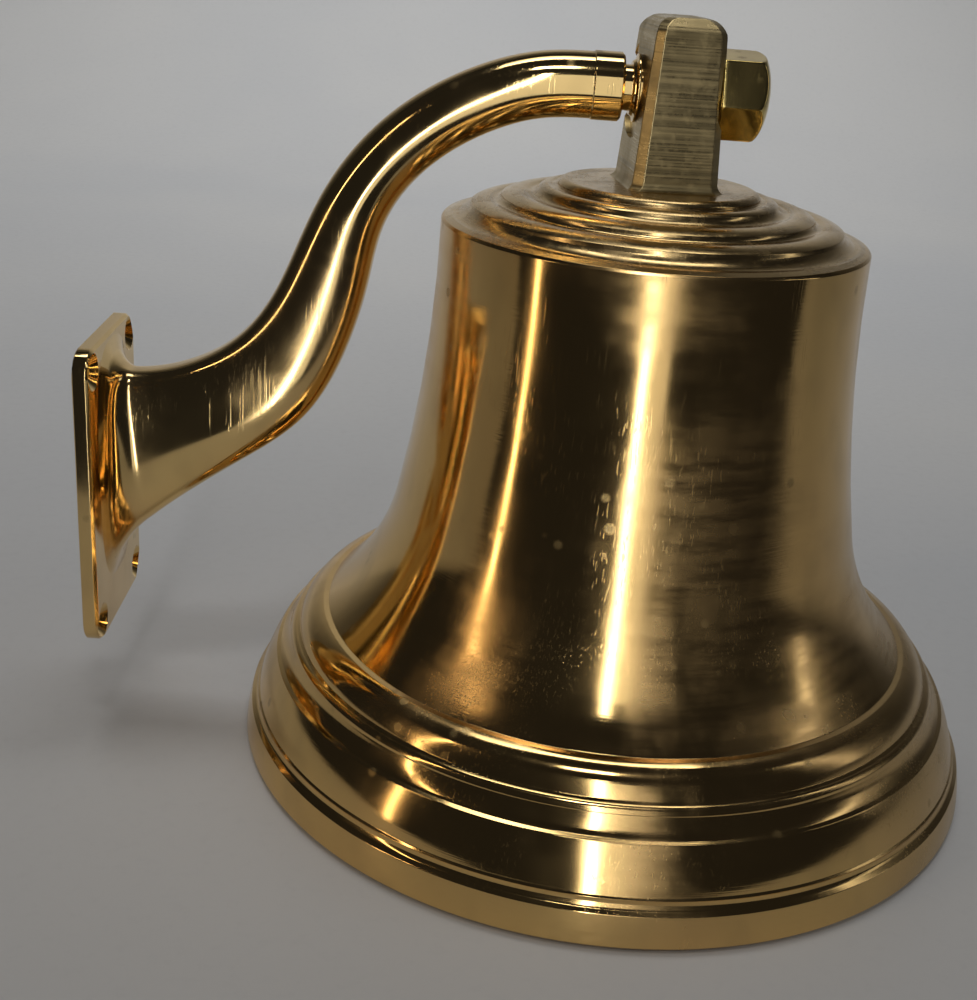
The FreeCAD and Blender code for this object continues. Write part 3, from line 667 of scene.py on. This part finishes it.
def make_arm():
    """Cast arm: ovals along a curved middle line, flared out to meet the plate."""
    rings = []
    for out, up, slope, deep, wide in spline(ARM, 14):
        gap = max(0.0, out - PLATE[0])
        flare = 0.0
        if gap < FLARE:
            flare = FLARE - math.sqrt(FLARE ** 2 - (FLARE - gap) ** 2)
        lean = math.radians(slope) * min(1.0, gap / FLARE)
        boxy = 1.0 - BOXY * max(0.0, min(1.0, (deep - BOXY_FROM) / BOXY_RUN))
        ring = []
        for i in range(ARM_POINTS):
            angle = 2 * math.pi * i / ARM_POINTS
            cosine, sine = math.cos(angle), math.sin(angle)
            along = (deep / 2 + flare) * math.copysign(abs(cosine) ** boxy, cosine)
            across = (wide / 2 + flare) * math.copysign(abs(sine) ** boxy, sine)
            ring.append(Vector((out - along * math.sin(lean), across,
                                up + along * math.cos(lean))))
        rings.append(ring)
    bm = bmesh.new()
    skin(bm, rings, closed_rings=False)
    verts = corner_list(bm)
    bm.faces.new(verts[:ARM_POINTS])
    bm.faces.new(verts[-ARM_POINTS:])
    arm = piece("bracket_arm", bm, arm_brass, "bracket", None)
    carve(arm, screw_cutters())
    return arm


def screw_cutters():
    """Countersunk holes with room for the screw heads above them."""
    cutters = []
    for sy in (-1, 1):
        for sz in (-1, 1):
            middle = Vector((0.0, sy * SCREWS[0] / 2, sz * SCREWS[1] / 2))
            sink = PLATE[0] - (SINK_R - SCREW_R)
            hole = [Vector((0, -2)), Vector((SCREW_R, -2)), Vector((SCREW_R, sink)),
                    Vector((SINK_R, PLATE[0])), Vector((SINK_R, 16.0)), Vector((0, 16.0))]
            cutters.append(turned(hole, middle, "x", 72))
    return cutters


def make_plate():
    """Flat plate with rounded corners and a bevelled front edge."""
    thick, wide, tall = PLATE
    rings = []
    for depth, inset in ((0.0, 0.25), (0.25, 0.0), (0.8, 0.0), (thick - PLATE_BEVEL - 0.3, 0.0),
                         (thick - PLATE_BEVEL, 0.04), (thick - PLATE_BEVEL + 0.12, 0.14),
                         (thick - 0.12, PLATE_BEVEL - 0.14), (thick, PLATE_BEVEL + 0.02),
                         (thick, PLATE_BEVEL + 0.4)):
        ring = []
        radius = PLATE_CORNER - inset
        for sy, sz, first in ((1, 1, 0), (-1, 1, 90), (-1, -1, 180), (1, -1, 270)):
            centre = Vector((sy * (wide / 2 - PLATE_CORNER), sz * (tall / 2 - PLATE_CORNER)))
            for k in range(CORNER_STEPS + 1):
                angle = math.radians(first + 90 * k / CORNER_STEPS)
                ring.append(Vector((depth, centre.x + radius * math.cos(angle),
                                    centre.y + radius * math.sin(angle))))
        rings.append(ring)
    bm = bmesh.new()
    skin(bm, rings, closed_rings=False)
    verts = corner_list(bm)
    size = len(rings[0])
    bm.faces.new(verts[:size])
    bm.faces.new(verts[-size:])
    plate = piece("bracket_plate", bm, arm_brass, "bracket", "wall_bracket")
    carve(plate, screw_cutters())
    return plate


def make_boss():
    """Turned end of the arm, with a fine line where the turning starts."""
    start = ARM_OUT - BOSS_LONG
    shape = [(0.0, start), (6.6, start), (6.95, start + 0.15), (6.95, start + 0.5),
             (BOSS_R, start + 0.75), (BOSS_R, ARM_OUT - 0.5), (BOSS_R - 0.5, ARM_OUT),
             (4.9, ARM_OUT), (4.9, ARM_OUT - 2.0), (0.0, ARM_OUT - 2.0)]
    bm = turned(outline(shape, 0.12), STUD_AXIS, "x", 128)
    return piece("bracket_boss", bm, arm_brass, "bracket", None)


# ------------------------------------------------------------------ stud, collar, nut
STUD_R = 4.8


def make_stud():
    """Plain stud with a small bevel at its end."""
    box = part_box("pivot_stud")
    start, end = ARM_OUT - 1.9, box[1][0] / MM
    shape = [(0.0, start), (STUD_R, start), (STUD_R, end - 0.6), (STUD_R - 0.6, end), (0.0, end)]
    bm = turned(outline(shape, 0.15), STUD_AXIS, "x", 96)
    return piece("stud", bm, arm_brass, "bracket", "pivot_stud")


def make_collar():
    """Ring that flares out towards the lug."""
    start, end = COLLAR
    shape = [(STUD_R, start), (5.5, start), (6.0, start + 0.7), (7.1, end - 0.5),
             (7.1, end), (STUD_R, end)]
    bm = turned(outline(shape, 0.18, closed=True), STUD_AXIS, "x", 96, closed=True)
    return piece("collar", bm, arm_brass, "bracket", "thrust_collar")


NUT_FLATS = 17.0
NUT_DOME = 3.6
NUT_TURN = 10.0                     # degrees
NUT_SIDE_STEPS = 12


def make_nut():
    """Hexagon cap nut; its flats run out into the low dome in scallops."""
    start, end = NUT
    reach_r = NUT_FLATS / math.sqrt(3)
    corners = []
    for k in range(6):
        angle = math.radians(60 * k + NUT_TURN)
        corners.append(Vector((math.cos(angle), math.sin(angle))) * reach_r)
    edge = []
    for a, b in zip(corners, corners[1:] + corners[:1]):
        edge += [a.lerp(b, k / NUT_SIDE_STEPS) for k in range(NUT_SIDE_STEPS)]
    edge = soften(edge, 0.9, closed=True, steps=4)
    dome_start = end - NUT_DOME

    def dome(radius):
        return dome_start + NUT_DOME * math.sqrt(max(0.0, 1 - (radius / reach_r) ** 2))

    rings = [[Vector((start, 0, 0))]]
    for depth, scale in ((0.0, 0.955), (0.35, 0.995), (0.6, 1.0), (1.2, 1.0)):
        rings.append([Vector((start + depth, p.x * scale, p.y * scale)) for p in edge])
    for t in (0.35, 0.7, 0.93):
        rings.append([Vector((start + 1.2 + (dome(p.length) - start - 1.2) * t, p.x, p.y))
                      for p in edge])
    rings.append([Vector((dome(p.length) - 0.25, p.x, p.y)) for p in edge])
    for scale in (0.985, 0.97, 0.94, 0.88, 0.8, 0.7, 0.6, 0.5, 0.4, 0.3, 0.2, 0.1):
        rings.append([Vector((dome(p.length * scale), p.x * scale, p.y * scale)) for p in edge])
    rings.append([Vector((end, 0, 0))])
    lifted = [[point + STUD_AXIS for point in ring] for ring in rings]
    bm = bmesh.new()
    skin(bm, lifted, closed_rings=False)
    return piece("cap_nut", bm, nut_brass, "bracket", "dome_nut")


make_bell()
make_lug()
make_plate()
make_arm()
make_boss()
make_stud()
make_collar()
make_nut()

# ------------------------------------------------------------------ pieces shown as they are in CAD
for node, material in (("crown_washer", clapper_brass), ("crown_bolt", clapper_brass),
                       ("hanger_fork", clapper_brass), ("clapper_pin", steel),
                       ("split_pin", steel), ("clapper_rod", clapper_brass),
                       ("clapper_ball", clapper_brass), ("clapper_tail", clapper_brass)):
    mesh = frame["nodes"][node].data
    mesh.materials.clear()
    mesh.materials.append(material)


# ------------------------------------------------------------------ floor, light and camera
def pale_floor():
    """Pale, slightly flecked floor paint."""
    g = Graph("floor")
    fleck = g.noise(g.spread((260, 260, 260)), 3.0, 0.6)
    cloud = g.noise(g.spread((3, 3, 3)), 3.0, 0.5)
    tint = g.blend(g.fit(cloud, 0.3, 0.7), (0.62, 0.63, 0.64), (0.68, 0.68, 0.67))
    g.link(g.blend(g.fit(fleck, 0.5, 0.8, 0.0, 0.12), tint, (0.5, 0.5, 0.5)),
           g.shader.inputs["Base Color"])
    g.link(g.fit(fleck, 0.3, 0.7, 0.50, 0.62), g.shader.inputs["Roughness"])
    g.bump(fleck, 0.2, 0.0002)
    return g.material


# metres; the floor stops just out of view, so that the brass mirrors a dark room in front
FLOOR_FRONT = -0.17
FLOOR_WIDE = 3.0
SWEEP_START = 0.75
SWEEP_R = 0.5
BACK_HIGH = 1.9
SWEEP_STEPS = 24
FLOOR_GAP = 0.0002                  # under the mouth, so that the two don't share a plane


def make_floor():
    """Pale floor that sweeps up into a plain back."""
    profile = [(FLOOR_FRONT, 0.0)]
    for k in range(SWEEP_STEPS + 1):
        angle = math.radians(90 * k / SWEEP_STEPS)
        profile.append((SWEEP_START + SWEEP_R * math.sin(angle),
                        SWEEP_R * (1 - math.cos(angle))))
    profile.append((SWEEP_START + SWEEP_R, BACK_HIGH))
    bm = bmesh.new()
    rows = [[bm.verts.new((x, y, z)) for x in (-FLOOR_WIDE, FLOOR_WIDE)] for y, z in profile]
    for near, away in zip(rows, rows[1:]):
        bm.faces.new((near[0], near[1], away[1], away[0]))
    mesh = bpy.data.meshes.new("floor")
    bm.to_mesh(mesh)
    bm.free()
    mesh.shade_smooth()
    floor = bpy.data.objects.new("floor", mesh)
    floor.location = (0.0, 0.0, MOUTH * MM - FLOOR_GAP)
    mesh.materials.append(pale_floor())
    bpy.context.scene.collection.objects.link(floor)


make_floor()


def softbox(name, place, aim, wide, high, power, tint=(1, 1, 1), spread=180.0):
    """Rectangular area light; metres, watts, and degrees of spread."""
    light = bpy.data.lights.new(name, "AREA")
    light.shape = "RECTANGLE"
    light.size = wide
    light.size_y = high
    light.energy = power
    light.color = tint
    light.spread = math.radians(spread)
    obj = bpy.data.objects.new(name, light)
    obj.location = place
    obj.rotation_euler = (Vector(aim) - Vector(place)).to_track_quat("-Z", "Y").to_euler()
    bpy.context.scene.collection.objects.link(obj)


CENTRE = (0.11, 0.0, 0.02)
WARM = (1.0, 0.76, 0.50)
softbox("front_core", (0.02, -1.25, 0.15), (0.12, 0.0, 0.0), 0.07, 1.9, 3.6)
softbox("front_soft", (0.12, -1.30, 0.15), (0.12, 0.0, 0.0), 0.36, 1.6, 1.5)
softbox("overhead", (0.05, -0.45, 0.95), CENTRE, 0.20, 0.12, 0.9)
softbox("left_strip", (-0.95, -0.50, 0.35), CENTRE, 0.05, 1.3, 1.3, WARM)
softbox("rim", (1.10, -0.15, 0.45), CENTRE, 0.10, 0.80, 0.35)
softbox("back", (0.1, 0.35, 1.5), (0.1, 1.0, 0.05), 1.0, 0.5, 4.2, spread=96.0)

world = bpy.data.worlds.new("studio")
world.use_nodes = True
world.node_tree.nodes["Background"].inputs["Color"].default_value = (0.016, 0.016, 0.018, 1.0)
world.node_tree.nodes["Background"].inputs["Strength"].default_value = 1.0
bpy.context.scene.world = world

CAMERA_PLACE = (0.0823, -0.3032, 0.1232)
CAMERA_LOOKS = (0.03194, 0.92545, -0.37751)
CAMERA_ROLL = 0.0761                # radians
CAMERA_LENS = 48.9                  # millimetres, on a sensor 36 wide

forward = Vector(CAMERA_LOOKS).normalized()
level = forward.cross(Vector((0, 0, 1))).normalized()
upright = level.cross(forward)
right = level * math.cos(CAMERA_ROLL) + upright * math.sin(CAMERA_ROLL)
up = upright * math.cos(CAMERA_ROLL) - level * math.sin(CAMERA_ROLL)
turn = Matrix((right, up, -forward)).transposed()
camera = bpy.data.cameras.new("camera")
camera.sensor_width = 36.0
camera.lens = CAMERA_LENS
camera.clip_start = 0.01
camera.clip_end = 50.0
eye = bpy.data.objects.new("camera", camera)
eye.matrix_world = Matrix.Translation(CAMERA_PLACE) @ turn.to_4x4()
bpy.context.scene.collection.objects.link(eye)
bpy.context.scene.camera = eye
bpy.context.scene.view_settings.view_transform = "Standard"

bpy.context.view_layer.update()
